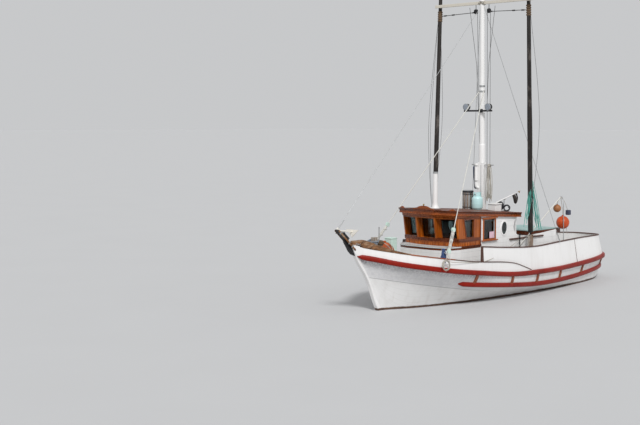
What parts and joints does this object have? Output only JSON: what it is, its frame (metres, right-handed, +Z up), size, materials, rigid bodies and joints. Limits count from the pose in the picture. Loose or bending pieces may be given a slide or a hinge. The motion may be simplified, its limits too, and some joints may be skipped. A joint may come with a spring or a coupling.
{
  "type": "wooden inshore fishing trawler with trolling poles",
  "caption": "Small double-ended wooden fishing boat with a white hull, varnished wheelhouse, mast with crosstree and two tall hinged trolling poles, afloat",
  "frame": {"origin": "on the centreline amidships, in the plane of the water it floats on", "axes": "+X to the bow, +Y to port, +Z up"},
  "size_m": [11.2744, 3.3118, 11.358],
  "materials": {
    "white_paint": "white gloss paint on planks",
    "oxide_red": "oxide red paint on wood, worn",
    "varnish": "glossy varnish over red-brown wood",
    "weathered_wood": "weathered brown wood",
    "pole_wood": "dark tarred wood",
    "deck_paint": "light grey deck paint",
    "hatch_green": "grey-green paint",
    "mint_paint": "pale mint paint",
    "bottom_paint": "red-brown bottom paint, matt",
    "window_glass": "clear flat glass",
    "galvanised": "weathered galvanised steel",
    "black_metal": "black paint on metal",
    "bottle_paint": "pale aqua paint on steel",
    "bronze": "dull bronze",
    "buoy_orange": "faded orange vinyl",
    "rope": "weathered rope"
  },
  "bodies": {
    "root": {"hull": "white_paint", "keel_and_stem": "white_paint", "deck": "deck_paint", "bow_board": "weathered_wood", "samson_post": "weathered_wood", "bulwark_fore_port": "white_paint", "bulwark_fore_stbd": "white_paint", "bulwark_aft_port": "white_paint", "bulwark_aft_stbd": "white_paint", "bulwark_stern": "white_paint", "rail_upper_port": "oxide_red", "rail_upper_stbd": "oxide_red", "rail_upper_stern": "oxide_red", "rail_lower_port": "oxide_red", "rail_lower_stbd": "oxide_red", "rail_lower_stern": "oxide_red", "cabin_side_port": "white_paint", "cabin_side_stbd": "white_paint", "trunk_front": "white_paint", "trunk_top": "deck_paint", "wheelhouse_side_port": "varnish", "wheelhouse_side_stbd": "varnish", "wheelhouse_front": "varnish", "glass_front": "window_glass", "glass_fore_side_port": "window_glass", "glass_fore_side_stbd": "window_glass", "glass_side_port": "window_glass", "glass_side_stbd": "window_glass", "wheelhouse_back": "white_paint", "door_hinge": "bronze", "wheelhouse_roof": "white_paint", "roof_fascia": "varnish", "hatch_coaming": "white_paint", "mast": "white_paint", "mast_box": "white_paint", "crosstree": "galvanised", "lamp_bar": "black_metal", "pole_post_port": "weathered_wood", "pole_post_stbd": "weathered_wood", "shroud_port": "rope", "shroud_stbd": "rope", "exhaust_stack": "white_paint", "gas_bottle": "bottle_paint", "stove_flue": "galvanised", "roof_locker": "white_paint", "bow_roller": "weathered_wood", "anchor": "galvanised", "buoy": "buoy_orange", "deck_locker": "mint_paint", "helm_column": "varnish"},
    "door": {"wheelhouse_door": "varnish"},
    "hatch": {"hatch_lid": "hatch_green"},
    "port_pole": {"pole_port": "pole_wood"},
    "stbd_pole": {"pole_stbd": "pole_wood"},
    "screw": {"propeller": "bronze"},
    "rudder_body": {"rudder": "bottom_paint"},
    "helm": {"helm_wheel": "varnish"}
  },
  "joints": [
    {"name": "screw_spin", "type": "hinge", "parent": "root", "child": "screw", "pos_m": [-4.265, 0, -0.69], "axis": [1, 0, 0], "continuous": true},
    {"name": "rudder_turn", "type": "hinge", "parent": "root", "child": "rudder_body", "pos_m": [-4.57, 0, -0.6], "axis": [0, 0, 1], "range_deg": [-35, 35]},
    {"name": "helm_turn", "type": "hinge", "parent": "root", "child": "helm", "pos_m": [2.12, 0.33, 1.5], "axis": [1, 0, 0], "range_deg": [-540, 540]},
    {"name": "door_swing", "type": "hinge", "parent": "root", "child": "door", "pos_m": [0.068, -0.302, 1.36], "axis": [0, 0, 1], "range_deg": [0, 100]},
    {"name": "hatch_lift", "type": "hinge", "parent": "root", "child": "hatch", "pos_m": [-1.555, -0.692, 1.59], "axis": [1, 0, 0], "range_deg": [0, 100]},
    {"name": "port_pole_lower", "type": "hinge", "parent": "root", "child": "port_pole", "pos_m": [-0.15, 1.155, 1.61], "axis": [-1, 0, 0], "range_deg": [0, 55]},
    {"name": "stbd_pole_lower", "type": "hinge", "parent": "root", "child": "stbd_pole", "pos_m": [1.11, -1.155, 1.65], "axis": [1, 0, 0], "range_deg": [0, 55]}
  ],
  "couplings": [
    {"joint": "helm_turn", "follows": "rudder_turn", "ratio": 15.42}
  ]
}
